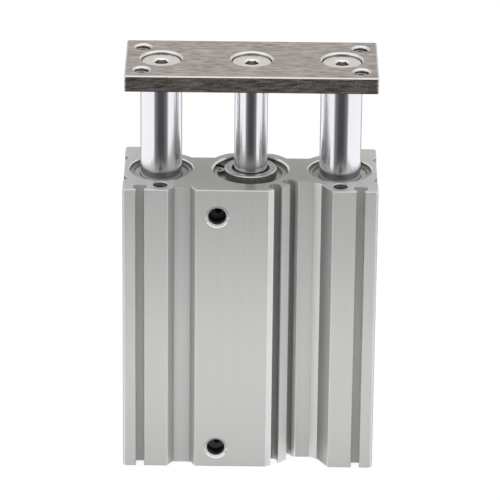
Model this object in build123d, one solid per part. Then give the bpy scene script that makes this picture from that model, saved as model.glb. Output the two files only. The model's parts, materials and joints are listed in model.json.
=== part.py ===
from build123d import *
import math
import os

# Compact guided air cylinder. A drilled extrusion holds a piston between two guide rods, and a
# tooling plate ties the three rods together. +Z is the way the rods come out, the ports and the
# T-slots face -Y, and the origin lies on the housing's foot, on the axis of the piston.
# All sizes are in millimetres. The plate stands part of the way out, at rest_gap.

# Stroke and where the plate stands
stroke = 100.0
rest_gap = 48.5
closed_gap = 12.0

# Rods
guide_rod_diameter = 20.0
piston_rod_diameter = 16.0
guide_spacing = 86.0
rod_end_chamfer = 1.2
rod_thread_diameter = 10.0
rod_thread_depth = 22.0

# Tooling plate and its corner holes
plate_past_guide = 17.0
plate_depth = 48.0
plate_thickness = 8.2
plate_chamfer = 0.6
plate_hole_from_end = 8.0
plate_hole_from_edge = 9.0
plate_hole_diameter = 6.8
plate_hole_mouth = 8.9

# Flat-head screws on the rods' axes
screw_head_diameter = 18.6
screw_rim = 0.6
screw_sink = 1.5
screw_shank = 19.0
screw_mouth_chamfer = 0.85
socket_across_flats = 6.0
socket_depth = 3.6
socket_mouth = 7.4
screw_clearance = 0.2

# Extruded housing, seen from above
body_past_guide = 18.0
body_depth = 54.0
corner_radius = 1.5
edge_radius = 0.5
boss_radius = 20.0
boss_side_inset = 0.2
ear_face_inset = 3.7
ear_foot_inset = 9.1
notch_out = 15.5
notch_side_y = 16.0
seat_wall = 4.1
seat_back_wall = 1.5
web_front = 15.4
web_back = 13.8
end_chamfer = 0.4

# Port pad and the recess on its left
pad_left = 26.0
pad_right = 8.6
pad_flank = 2.4
recess_floor = 22.0

# Sensor grooves beside the pad, round at the bottom and aimed at the piston's axis
groove_angles = (-61.2, -39.7)
groove_diameter = 6.2
groove_mouth = 4.7
groove_wall = 4.7
rail_past_groove = (3.9, 3.1)
rail_end = (25.0, -14.5)

# T-slots down the front
t_slot_inset = 8.35
t_slot_opening = 4.0
t_slot_lip = 2.0
t_slot_width = 6.6
t_slot_depth = 5.7

# Cores that run through the ears and are tapped at both ends
end_hole_y = 20.0
end_hole_diameter = 6.8
end_hole_mouth = 7.8

# Air ports
port_diameter = 8.7
port_mouth = 11.2
port_depth = 8.6
port_top_inset = 14.0
port_bottom_inset = 10.0
port_off_tangent = 0.3
passage_diameter = 3.0
passage_off_wall = 0.8
passage_overlap = 1.0

# Cylinder bore and the stack of pieces along it
bore_diameter = 32.0
seat_step = 2.0
seat_chamfer = 0.7
front_rim = 2.1
rear_rim = 1.6
circlip_thickness = 1.6
circlip_groove_depth = 0.9
circlip_section = 2.4
circlip_opening_angle = 150.0
rod_cover_length = 13.3
rod_cover_nose = 6.5
rod_cover_nose_diameter = 27.0
rod_cover_boss_diameter = 25.2
rod_cover_boss_proud = 1.1
rod_cover_mouth_gap = 1.15
head_cover_length = 5.8
head_cover_dish = 1.2
head_cover_dish_diameter = 22.0
bumper_thickness = 1.5
front_bumper_diameter = 25.0
rear_bumper_diameter = 22.0
gasket_section = 2.0
gasket_groove_width = 2.6
rod_bush_wall = 1.5
rod_bush_length = 9.6
rod_seal_height = 5.2
rod_seal_wall = 3.0
rod_seal_lip = 0.9

# Piston
piston_nose = 2.0
piston_nose_diameter = 26.0
piston_spigot_diameter = 10.0
piston_nut_across_flats = 16.0
piston_nut_height = 5.0
nut_sink = 0.6
nut_room = 1.5
magnet_height = 3.0
magnet_wall = 2.4
wear_ring_height = 4.0
wear_ring_wall = 1.5
piston_seal_height = 3.2
piston_seal_wall = 2.8
piston_land = 1.5
piston_front_land = 1.3

# Guide bores
guide_bush_wall = 4.0
guide_mouth_step = 1.25
guide_mouth_chamfer = 0.4
guide_rim = 1.5
guide_circlip_thickness = 1.2
guide_circlip_groove_depth = 0.6
guide_circlip_section = 2.0
guide_circlip_rod_gap = 0.9
felt_holder_height = 3.2
felt_holder_lip = 0.9
felt_wall = 2.6
guide_bush_length = 24.0
guide_bush_recess = 2.5

# Clearances
running_clearance = 0.05
seat_clearance = 0.02
free_clearance = 0.3
axial_clearance = 0.05

# Places worked out from the sizes above
guide_x = guide_spacing / 2
body_width = guide_spacing + 2 * body_past_guide
plate_width = guide_spacing + 2 * plate_past_guide
bore_radius = bore_diameter / 2
seat_radius = bore_radius + seat_step
tube_radius = seat_radius + seat_wall
tube_back_flat = seat_radius + seat_back_wall
guide_radius = guide_rod_diameter / 2
guide_bore_radius = guide_radius + guide_bush_wall
guide_mouth_radius = guide_bore_radius + guide_mouth_step
rod_radius = piston_rod_diameter / 2
rod_cover_mouth_radius = rod_radius + rod_cover_mouth_gap
groove_reach = bore_radius + groove_wall + groove_diameter / 2
piston_length = (
    piston_nose
    + magnet_height
    + wear_ring_height
    + piston_seal_height
    + 3 * piston_land
    + piston_front_land
)
nut_recess_depth = piston_nut_height + nut_sink
nut_recess_radius = piston_nut_across_flats / math.sqrt(3) + nut_room / 2
head_cover_z = rear_rim + circlip_thickness
rear_stop_z = head_cover_z + head_cover_length
piston_home_z = rear_stop_z + bumper_thickness
piston_z = piston_home_z + rest_gap - closed_gap
front_stop_z = piston_home_z + piston_length + stroke
rod_cover_z = front_stop_z + bumper_thickness
rod_cover_top_z = rod_cover_z + rod_cover_length
body_height = rod_cover_top_z + circlip_thickness + front_rim
plate_z = body_height + rest_gap
plate_top_z = plate_z + plate_thickness
felt_holder_top_z = body_height - guide_rim - guide_circlip_thickness
guide_shoulder_z = felt_holder_top_z - felt_holder_height
port_x = port_off_tangent - bore_radius


def turned(points, x=0.0, y=0.0):
    """A turned piece: its half section, in radius and height, spun about an upright axis."""
    outline = Polyline(*[(radius, 0, z) for radius, z in points], close=True)
    return Pos(x, y, 0) * revolve(make_face(outline), axis=Axis.Z)


def upright(radius, low, high, x=0.0, y=0.0):
    """A round bar or drill from one height to another."""
    return Pos(x, y, (low + high) / 2) * Cylinder(radius, high - low)


def tube(outer, inner, low, high, x=0.0, y=0.0):
    """A plain ring or bush."""
    return upright(outer, low, high, x, y) - upright(inner, low, high, x, y)


def gasket(z):
    """A ring that seals a cover in its seat, pressed square by its groove."""
    half = gasket_section / 2 - seat_clearance
    middle = seat_radius - gasket_section / 2 - seat_clearance
    return tube(middle + half, middle - half, z - half, z + half)


def hexagon(across_flats, low, high, x=0.0, y=0.0):
    """A hexagonal bar or socket."""
    outline = RegularPolygon(across_flats / 2, 6, major_radius=False)
    return Pos(x, y, low) * extrude(outline, high - low)


def polar(radius, angle):
    """A point in plan from its distance and direction in degrees."""
    return (radius * math.cos(math.radians(angle)), radius * math.sin(math.radians(angle)))


def ear(side, face):
    """One corner of the extrusion, from its flank on the inside to the notch beside the boss."""
    half_width = body_width / 2
    half_depth = body_depth / 2
    foot_y = math.sqrt(boss_radius**2 - ear_foot_inset**2)
    notch_y = math.sqrt(boss_radius**2 - notch_out**2)
    points = [
        (half_width, half_depth),
        (guide_x - ear_face_inset, half_depth),
        (guide_x - ear_foot_inset, foot_y),
        (guide_x, 0),
        (guide_x + notch_out, notch_y),
        (half_width, notch_side_y),
    ]
    outline = make_face(Polyline(*[(side * x, face * y) for x, y in points], close=True))
    outer = outline.vertices().filter_by(lambda v: abs(v.Y) > boss_radius and abs(v.X) > guide_x)
    outline = fillet(outer, corner_radius)
    inner = outline.vertices().filter_by(lambda v: abs(v.Y) > boss_radius and abs(v.X) < guide_x)
    return fillet(inner, edge_radius)


def boss(side):
    """The round wall about a guide bore, flattened where it meets the housing's side."""
    flat = body_past_guide - boss_side_inset
    kept = Pos(side * (flat - boss_radius) / 2, 0) * Rectangle(flat + boss_radius, 2 * boss_radius)
    return Pos(side * guide_x, 0) * (Circle(boss_radius) & kept)


def port_pad():
    """The flat pad that carries the ports, with the thick wall on its left."""
    half_depth = body_depth / 2
    pad = make_face(
        Polyline(
            (-pad_left - pad_flank, -recess_floor),
            (-pad_left, -half_depth),
            (pad_right, -half_depth),
            polar(groove_reach + rail_past_groove[0], groove_angles[0]),
            (0, 0),
            (-pad_left - pad_flank, 0),
            close=True,
        )
    )
    front = pad.vertices().filter_by(lambda v: v.Y < -half_depth + edge_radius)
    pad = fillet(front, edge_radius)
    wall_right = -pad_left
    wall_left = -guide_x + ear_foot_inset / 2
    centre = ((wall_left + wall_right) / 2, -recess_floor / 2)
    return pad + Pos(*centre) * Rectangle(wall_right - wall_left, recess_floor)


def sensor_rail():
    """The faceted rib on the right of the pad, which the sensor grooves are cut in."""
    corners = [polar(groove_reach + past, angle) for past, angle in zip(rail_past_groove, groove_angles)]
    return make_face(Polyline((0, 0), *corners, rail_end, close=True))


def sensor_grooves():
    """Two round-bottomed grooves that open outwards through a narrower mouth."""
    grooves = []
    for angle in groove_angles:
        length = boss_radius
        mouth = Pos(groove_reach + length / 2, 0) * Rectangle(length, groove_mouth)
        round_part = Pos(groove_reach, 0) * Circle(groove_diameter / 2)
        grooves.append(Rot(0, 0, angle) * (mouth + round_part))
    return grooves[0] + grooves[1]


def t_slot(side):
    """One T-slot for nuts, in the front of an ear."""
    x = side * (body_width / 2 - t_slot_inset)
    front = -body_depth / 2
    mouth = Pos(x, front + t_slot_lip / 2) * Rectangle(t_slot_opening, t_slot_lip)
    inner_depth = t_slot_depth - t_slot_lip
    inner = Pos(x, front + t_slot_lip + inner_depth / 2) * Rectangle(t_slot_width, inner_depth)
    return mouth + inner


def housing_section():
    """The extrusion's section, with its slots and grooves."""
    cylinder_wall = Circle(tube_radius) & (
        Pos(0, (tube_back_flat - body_depth) / 2) * Rectangle(body_depth, tube_back_flat + body_depth)
    )
    web = Pos(0, (web_back - web_front) / 2) * Rectangle(guide_spacing, web_back + web_front)
    section = web + cylinder_wall + port_pad() + sensor_rail() + boss(-1) + boss(1)
    for side in (-1, 1):
        for face in (-1, 1):
            section = section + ear(side, face)
    return section - sensor_grooves() - t_slot(-1) - t_slot(1)


def centre_bore():
    """The cylinder bore with its two seats, circlip grooves and mouth chamfers."""
    groove = seat_radius + circlip_groove_depth
    front_groove_z = body_height - front_rim
    return turned(
        [
            (0, 0),
            (seat_radius + seat_chamfer, 0),
            (seat_radius, seat_chamfer),
            (seat_radius, rear_rim),
            (groove, rear_rim),
            (groove, head_cover_z + axial_clearance),
            (seat_radius, head_cover_z + axial_clearance),
            (seat_radius, rear_stop_z),
            (bore_radius, rear_stop_z),
            (bore_radius, rod_cover_z + rod_cover_nose),
            (seat_radius, rod_cover_z + rod_cover_nose),
            (seat_radius, rod_cover_top_z - axial_clearance),
            (groove, rod_cover_top_z - axial_clearance),
            (groove, front_groove_z),
            (seat_radius, front_groove_z),
            (seat_radius, body_height - seat_chamfer),
            (seat_radius + seat_chamfer, body_height),
            (0, body_height),
        ]
    )


def guide_bore(x):
    """A guide bore with the wider mouth for the felt holder and its circlip groove."""
    bore = guide_bore_radius
    mouth = guide_mouth_radius
    groove = mouth + guide_circlip_groove_depth
    groove_top = body_height - guide_rim
    return turned(
        [
            (0, 0),
            (bore + guide_mouth_chamfer, 0),
            (bore, guide_mouth_chamfer),
            (bore, guide_shoulder_z),
            (mouth, guide_shoulder_z),
            (mouth, felt_holder_top_z - axial_clearance),
            (groove, felt_holder_top_z - axial_clearance),
            (groove, groove_top),
            (mouth, groove_top),
            (mouth, body_height - guide_mouth_chamfer),
            (mouth + guide_mouth_chamfer, body_height),
            (0, body_height),
        ],
        x,
    )


def end_core(x, y):
    """A core through an ear, with a chamfered mouth at each end."""
    radius = end_hole_diameter / 2
    mouth = end_hole_mouth / 2
    return turned(
        [
            (0, 0),
            (mouth, 0),
            (radius, mouth - radius),
            (radius, body_height - mouth + radius),
            (mouth, body_height),
            (0, body_height),
        ],
        x,
        y,
    )


def port(z):
    """An air port in the pad, with a chamfered mouth, and the small passage from it into the bore."""
    radius = port_diameter / 2
    mouth = port_mouth / 2
    drilled = turned([(0, -port_depth), (radius, -port_depth), (radius, radius - mouth), (mouth, 0), (0, 0)])
    hole = Pos(port_x, -body_depth / 2, z) * Rot(90, 0, 0) * drilled
    passage_x = passage_off_wall - bore_radius
    start = -body_depth / 2 + port_depth - passage_overlap
    end = -passage_diameter
    drill = Rot(90, 0, 0) * Cylinder(passage_diameter / 2, end - start)
    return hole + Pos(passage_x, (start + end) / 2, z) * drill


def end_edges(body):
    """The edges of the housing's two ends that lie on its outer faces."""
    ends = body.faces().sort_by(Axis.Z)
    rims = ends[-1].outer_wire().edges() + ends[0].outer_wire().edges()
    reach_x = body_width / 2 - corner_radius / 3
    reach_y = body_depth / 2 - corner_radius / 3
    return rims.filter_by(lambda e: abs(e.center().X) > reach_x or abs(e.center().Y) > reach_y)


def housing():
    """The extruded and drilled aluminium housing."""
    body = extrude(housing_section(), body_height)
    body = chamfer(end_edges(body), end_chamfer)
    body = body - centre_bore() - guide_bore(-guide_x) - guide_bore(guide_x)
    for x in (-guide_x, guide_x):
        for y in (-end_hole_y, end_hole_y):
            body = body - end_core(x, y)
    return body - port(body_height - port_top_inset) - port(port_bottom_inset)


def rod_cover():
    """The collar that closes the front of the bore and carries the rod's bush and seal."""
    outer = seat_radius - seat_clearance
    groove = outer - gasket_section
    flange_z = rod_cover_z + rod_cover_nose
    gasket_z = flange_z + (rod_cover_length - rod_cover_nose) / 2
    groove_low = gasket_z - gasket_groove_width / 2
    groove_high = gasket_z + gasket_groove_width / 2
    boss_radius_here = rod_cover_boss_diameter / 2
    top = body_height + rod_cover_boss_proud
    bush = rod_radius + rod_bush_wall
    bush_top = rod_cover_z + rod_bush_length
    seal = rod_radius + rod_seal_wall
    seal_low = top - rod_seal_height - rod_seal_lip
    seal_high = top - rod_seal_lip
    return turned(
        [
            (bush, rod_cover_z),
            (rod_cover_nose_diameter / 2, rod_cover_z),
            (rod_cover_nose_diameter / 2, flange_z),
            (outer, flange_z),
            (outer, groove_low),
            (groove, groove_low),
            (groove, groove_high),
            (outer, groove_high),
            (outer, rod_cover_top_z),
            (boss_radius_here, rod_cover_top_z),
            (boss_radius_here, top - edge_radius),
            (boss_radius_here - edge_radius, top),
            (rod_cover_mouth_radius, top),
            (rod_cover_mouth_radius, seal_high),
            (seal, seal_high),
            (seal, seal_low),
            (rod_radius + free_clearance, seal_low),
            (rod_radius + free_clearance, bush_top),
            (bush, bush_top),
        ]
    )


def rod_bush():
    """The plain bush that the piston rod runs in."""
    outer = rod_radius + rod_bush_wall - seat_clearance
    inner = rod_radius + running_clearance
    return tube(outer, inner, rod_cover_z, rod_cover_z + rod_bush_length - axial_clearance)


def rod_seal():
    """The rod's lipped seal, with a cup below and a wiping lip above."""
    top = body_height + rod_cover_boss_proud
    seal_high = top - rod_seal_lip - axial_clearance
    seal_low = top - rod_seal_height - rod_seal_lip + axial_clearance
    middle = (seal_low + seal_high) / 2
    outer = rod_radius + rod_seal_wall - seat_clearance
    inner = rod_radius + running_clearance
    relief = rod_radius + 2 * free_clearance
    cup = rod_radius + rod_seal_wall / 2
    lip = rod_cover_mouth_radius - free_clearance
    return turned(
        [
            (inner, seal_low),
            (cup, middle - free_clearance),
            (outer, seal_low),
            (outer, seal_high),
            (lip, seal_high),
            (inner + free_clearance, top - free_clearance),
            (inner, top - free_clearance),
            (relief, middle),
        ]
    )


def rod_cover_gasket():
    """The ring that seals the rod cover in its seat."""
    z = rod_cover_z + (rod_cover_nose + rod_cover_length) / 2
    return gasket(z)


def head_cover():
    """The disc that closes the rear of the bore."""
    outer = seat_radius - seat_clearance
    groove = outer - gasket_section
    middle = head_cover_z + head_cover_length / 2
    dish = head_cover_dish_diameter / 2
    return turned(
        [
            (0, head_cover_z + head_cover_dish),
            (dish - head_cover_dish, head_cover_z + head_cover_dish),
            (dish, head_cover_z),
            (outer, head_cover_z),
            (outer, middle - gasket_groove_width / 2),
            (groove, middle - gasket_groove_width / 2),
            (groove, middle + gasket_groove_width / 2),
            (outer, middle + gasket_groove_width / 2),
            (outer, rear_stop_z),
            (0, rear_stop_z),
        ]
    )


def head_cover_gasket():
    """The ring that seals the head cover in its seat."""
    z = head_cover_z + head_cover_length / 2
    return gasket(z)


def circlip(hole_radius, groove_depth, thickness, section, lug_reach, low, x, opening):
    """A flat ring that springs into a groove in a hole, with a plier hole in each of its two lugs."""
    outer = hole_radius + groove_depth - seat_clearance
    inner = hole_radius - section
    lug_hole = section / 3
    lug_radius = (hole_radius - lug_reach) / 2
    lug_centre = lug_reach + lug_radius
    half_gap = math.degrees(lug_radius / lug_centre) / 2
    lug_angle = half_gap + math.degrees(lug_radius / lug_centre)
    gap_points = [(0, 0), polar(2 * outer, half_gap), polar(2 * outer, -half_gap)]
    shape = Circle(outer) - Pos(section / 6, 0) * Circle(inner)
    for angle in (-lug_angle, lug_angle):
        shape = shape + Pos(*polar(lug_centre, angle)) * Circle(lug_radius)
    shape = shape & Circle(outer)
    shape = shape - make_face(Polyline(*gap_points, close=True))
    for angle in (-lug_angle, lug_angle):
        shape = shape - Pos(*polar(lug_centre, angle)) * Circle(lug_hole)
    return Pos(x, 0, low) * Rot(0, 0, opening) * extrude(shape, thickness)


def centre_circlip(low):
    """A circlip for the seat at either end of the cylinder bore, open to the left and slightly back."""
    reach = rod_cover_boss_diameter / 2 + free_clearance
    thickness = circlip_thickness - axial_clearance
    angle = circlip_opening_angle
    return circlip(seat_radius, circlip_groove_depth, thickness, circlip_section, reach, low, 0, angle)


def guide_circlip(side):
    """The circlip over a felt holder, open to the back."""
    hole = guide_mouth_radius
    depth = guide_circlip_groove_depth
    reach = guide_radius + guide_circlip_rod_gap
    thickness = guide_circlip_thickness - axial_clearance
    x = side * guide_x
    return circlip(hole, depth, thickness, guide_circlip_section, reach, felt_holder_top_z, x, 90)


def felt_holder(side):
    """The ring over the felt at the mouth of a guide bore."""
    outer = guide_mouth_radius - seat_clearance
    pocket = guide_radius + felt_wall
    lip = guide_radius + free_clearance
    under_lip = felt_holder_top_z - felt_holder_lip
    return turned(
        [
            (pocket, guide_shoulder_z),
            (outer, guide_shoulder_z),
            (outer, felt_holder_top_z),
            (lip + free_clearance, felt_holder_top_z),
            (lip, felt_holder_top_z - free_clearance),
            (lip, under_lip),
            (pocket, under_lip),
        ],
        side * guide_x,
    )


def guide_felt(side):
    """The oiled felt that wipes a guide rod."""
    outer = guide_radius + felt_wall - seat_clearance
    inner = guide_radius + running_clearance
    high = felt_holder_top_z - felt_holder_lip - axial_clearance
    return tube(outer, inner, guide_shoulder_z, high, side * guide_x)


def guide_bush(side, low):
    """A bearing bush for a guide rod."""
    outer = guide_bore_radius - seat_clearance
    inner = guide_radius + running_clearance
    return tube(outer, inner, low, low + guide_bush_length, side * guide_x)


def front_bumper():
    """The soft ring that stops the piston at the front, held on the rod cover."""
    inner = rod_radius + rod_bush_wall + seat_clearance
    return tube(front_bumper_diameter / 2, inner, front_stop_z, rod_cover_z)


def rear_bumper():
    """The soft disc that stops the piston at the rear, held on the head cover."""
    inner = piston_spigot_diameter / 2
    return tube(rear_bumper_diameter / 2, inner, rear_stop_z, piston_home_z)


def guide_rod(side):
    """A chromed guide rod, tapped at the top for its screw."""
    thread = rod_thread_diameter / 2 + seat_clearance
    return turned(
        [
            (0, 0),
            (guide_radius - rod_end_chamfer, 0),
            (guide_radius, rod_end_chamfer),
            (guide_radius, plate_z),
            (thread, plate_z),
            (thread, plate_z - rod_thread_depth),
            (0, plate_z - rod_thread_depth - thread / 2),
        ],
        side * guide_x,
    )


def piston_rod():
    """The chromed piston rod, with the spigot that carries the piston."""
    thread = rod_thread_diameter / 2 + seat_clearance
    piston_top = piston_z + piston_length
    spigot = piston_spigot_diameter / 2
    spigot_end = piston_z + nut_recess_depth - piston_nut_height
    return turned(
        [
            (0, spigot_end),
            (spigot, spigot_end),
            (spigot, piston_top),
            (rod_radius, piston_top),
            (rod_radius, plate_z),
            (thread, plate_z),
            (thread, plate_z - rod_thread_depth),
            (0, plate_z - rod_thread_depth - thread / 2),
        ]
    )


def ring_levels():
    """Heights of the grooves round the piston: magnet, wear ring and seal, each as low and high."""
    levels = []
    low = piston_z + piston_nose + piston_land
    for height in (magnet_height, wear_ring_height, piston_seal_height):
        levels.append((low, low + height))
        low = low + height + piston_land
    return levels


def piston():
    """The piston, with grooves for its magnet, wear ring and seal, and the nut's recess below."""
    outer = bore_radius - running_clearance
    nose = piston_nose_diameter / 2
    spigot = piston_spigot_diameter / 2 + seat_clearance
    recess = nut_recess_radius
    high = piston_z + piston_length
    points = [
        (spigot, piston_z + nut_recess_depth),
        (recess, piston_z + nut_recess_depth),
        (recess, piston_z),
        (nose, piston_z),
        (outer, piston_z + piston_nose),
    ]
    walls = (magnet_wall, wear_ring_wall, piston_seal_wall)
    for (groove_low, groove_high), wall in zip(ring_levels(), walls):
        points.append((outer, groove_low))
        points.append((outer - wall, groove_low))
        points.append((outer - wall, groove_high))
        points.append((outer, groove_high))
    points.append((outer, high))
    points.append((spigot, high))
    return turned(points)


def piston_ring(index, wall):
    """A ring in one of the piston's grooves."""
    low, high = ring_levels()[index]
    outer = bore_radius - running_clearance
    inner = outer - wall + seat_clearance
    return tube(outer, inner, low + axial_clearance, high - axial_clearance)


def piston_nut():
    """The thin nut that holds the piston on the rod."""
    low = piston_z + nut_recess_depth - piston_nut_height
    high = piston_z + nut_recess_depth
    hole = piston_spigot_diameter / 2 + seat_clearance
    return hexagon(piston_nut_across_flats, low, high) - upright(hole, low, high)


def tooling_plate():
    """The plate on the rods, with its corner holes and the seats for the screw heads."""
    plate = Pos(0, 0, plate_z + plate_thickness / 2) * Box(plate_width, plate_depth, plate_thickness)
    plate = chamfer(plate.edges(), plate_chamfer)
    wall = screw_head_diameter / 2 + screw_clearance
    shank = rod_thread_diameter / 2 + screw_clearance
    cone_top = plate_top_z - screw_sink - screw_rim + screw_clearance
    seat = turned(
        [
            (0, plate_z),
            (shank, plate_z),
            (shank, cone_top - wall + shank),
            (wall, cone_top),
            (wall, plate_top_z - screw_mouth_chamfer),
            (wall + screw_mouth_chamfer, plate_top_z),
            (0, plate_top_z),
        ]
    )
    for x in (-guide_x, 0, guide_x):
        plate = plate - Pos(x, 0, 0) * seat
    hole = plate_hole_diameter / 2
    mouth = plate_hole_mouth / 2
    tapped = turned(
        [
            (0, plate_z),
            (mouth, plate_z),
            (hole, plate_z + mouth - hole),
            (hole, plate_top_z - mouth + hole),
            (mouth, plate_top_z),
            (0, plate_top_z),
        ]
    )
    hole_x = plate_width / 2 - plate_hole_from_end
    hole_y = plate_depth / 2 - plate_hole_from_edge
    for x in (-hole_x, hole_x):
        for y in (-hole_y, hole_y):
            plate = plate - Pos(x, y, 0) * tapped
    return plate


def plate_screw(x):
    """A flat-head socket screw, sunk in the plate and run into a rod."""
    top = plate_top_z - screw_sink
    head = screw_head_diameter / 2
    shank = rod_thread_diameter / 2 - seat_clearance
    cone_top = top - screw_rim
    end = plate_z - screw_shank
    screw = turned(
        [
            (0, end),
            (shank, end),
            (shank, cone_top - head + shank),
            (head, cone_top),
            (head, top - screw_rim / 2),
            (head - screw_rim / 2, top),
            (0, top),
        ],
        x,
    )
    chamfer_depth = (socket_mouth - socket_across_flats) / 2
    mouth = turned([(0, top - chamfer_depth), (socket_across_flats / 2, top - chamfer_depth),
                    (socket_mouth / 2, top), (0, top)], x)
    return screw - hexagon(socket_across_flats, top - socket_depth, top, x) - mouth


def save(node, *solids):
    """Writes one sub-part."""
    shape = solids[0] if len(solids) == 1 else Compound(children=list(solids))
    export_step(shape, f"parts/{node}.step")


os.makedirs("parts", exist_ok=True)

save("housing", housing())
save("rod_cover", rod_cover())
save("rod_bush", rod_bush())
save("rod_seal", rod_seal())
save("rod_cover_gasket", rod_cover_gasket())
save("rod_cover_circlip", centre_circlip(rod_cover_top_z))
save("head_cover", head_cover())
save("head_cover_gasket", head_cover_gasket())
save("head_cover_circlip", centre_circlip(rear_rim + axial_clearance))
save("front_bumper", front_bumper())
save("rear_bumper", rear_bumper())
for name, side in (("left", -1), ("right", 1)):
    save(f"guide_bush_upper_{name}", guide_bush(side, guide_shoulder_z - guide_bush_length))
    save(f"guide_bush_lower_{name}", guide_bush(side, guide_bush_recess))
    save(f"guide_felt_{name}", guide_felt(side))
    save(f"felt_holder_{name}", felt_holder(side))
    save(f"guide_circlip_{name}", guide_circlip(side))
    save(f"guide_rod_{name}", guide_rod(side))
save("piston_rod", piston_rod())
save("piston", piston())
save("piston_magnet", piston_ring(0, magnet_wall))
save("piston_wear_ring", piston_ring(1, wear_ring_wall))
save("piston_seal", piston_ring(2, piston_seal_wall))
save("piston_nut", piston_nut())
save("tooling_plate", tooling_plate())
save("plate_screws", plate_screw(-guide_x), plate_screw(0), plate_screw(guide_x))
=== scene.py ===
"""The looks of a guided pneumatic cylinder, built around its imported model.

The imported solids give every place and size. Turned pieces, screws and threads are worked out here as
smooth surfaces. The drilled housing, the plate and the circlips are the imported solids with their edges
broken. Lengths are in metres.
"""

import json
import logging
import math
from dataclasses import dataclass
from enum import Enum
from functools import cached_property, partial, reduce
from typing import ClassVar, Dict, List, Optional, Sequence, Tuple, Union

import bmesh
import bpy
import numpy as np
from mathutils import Matrix, Vector


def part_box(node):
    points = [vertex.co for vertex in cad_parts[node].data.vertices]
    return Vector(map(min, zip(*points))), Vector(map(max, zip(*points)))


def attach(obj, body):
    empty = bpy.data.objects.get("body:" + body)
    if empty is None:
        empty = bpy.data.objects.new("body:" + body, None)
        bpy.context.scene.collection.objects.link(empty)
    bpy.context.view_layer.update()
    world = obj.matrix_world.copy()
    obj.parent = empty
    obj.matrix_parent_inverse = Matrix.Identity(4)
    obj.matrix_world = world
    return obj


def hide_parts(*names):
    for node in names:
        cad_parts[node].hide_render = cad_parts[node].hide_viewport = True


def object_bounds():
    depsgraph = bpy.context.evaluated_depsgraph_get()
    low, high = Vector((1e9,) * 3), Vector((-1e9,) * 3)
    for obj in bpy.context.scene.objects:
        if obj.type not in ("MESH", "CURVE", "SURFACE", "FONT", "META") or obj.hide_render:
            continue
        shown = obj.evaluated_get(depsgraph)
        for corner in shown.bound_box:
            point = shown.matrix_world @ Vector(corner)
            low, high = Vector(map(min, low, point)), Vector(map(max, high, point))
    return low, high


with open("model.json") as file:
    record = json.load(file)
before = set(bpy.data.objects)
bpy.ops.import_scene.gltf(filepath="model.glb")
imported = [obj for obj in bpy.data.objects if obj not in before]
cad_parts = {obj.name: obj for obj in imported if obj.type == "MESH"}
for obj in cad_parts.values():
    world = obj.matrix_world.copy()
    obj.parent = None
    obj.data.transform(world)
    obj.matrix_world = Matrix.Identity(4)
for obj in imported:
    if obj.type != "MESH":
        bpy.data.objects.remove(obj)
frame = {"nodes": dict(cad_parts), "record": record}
cad_low, cad_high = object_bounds()

logging.basicConfig(level=logging.INFO, format="%(message)s")
log = logging.getLogger("guided_cylinder")

MM = 0.001
AROUND = 160  # points in each turn of a turned piece
CYLINDER = "cylinder"
CARRIAGE = "carriage"
SIDES = ("left", "right")
# Painted shade inside the ports is laid on between these two depths along Y.
PORT_SHADE = (-25.9 * MM, -19.8 * MM)  # where a port's wall starts to grow dark, and where it is dark
MOUNTS = {mount["name"]: mount for mount in frame["record"]["mounts"]}

Socket = bpy.types.NodeSocket
Value = Union[float, Socket]
Colour = Tuple[float, float, float]
Shade = Union[Colour, Socket]
Pair = Tuple[float, float]
Points = np.ndarray


# Node trees


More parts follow.
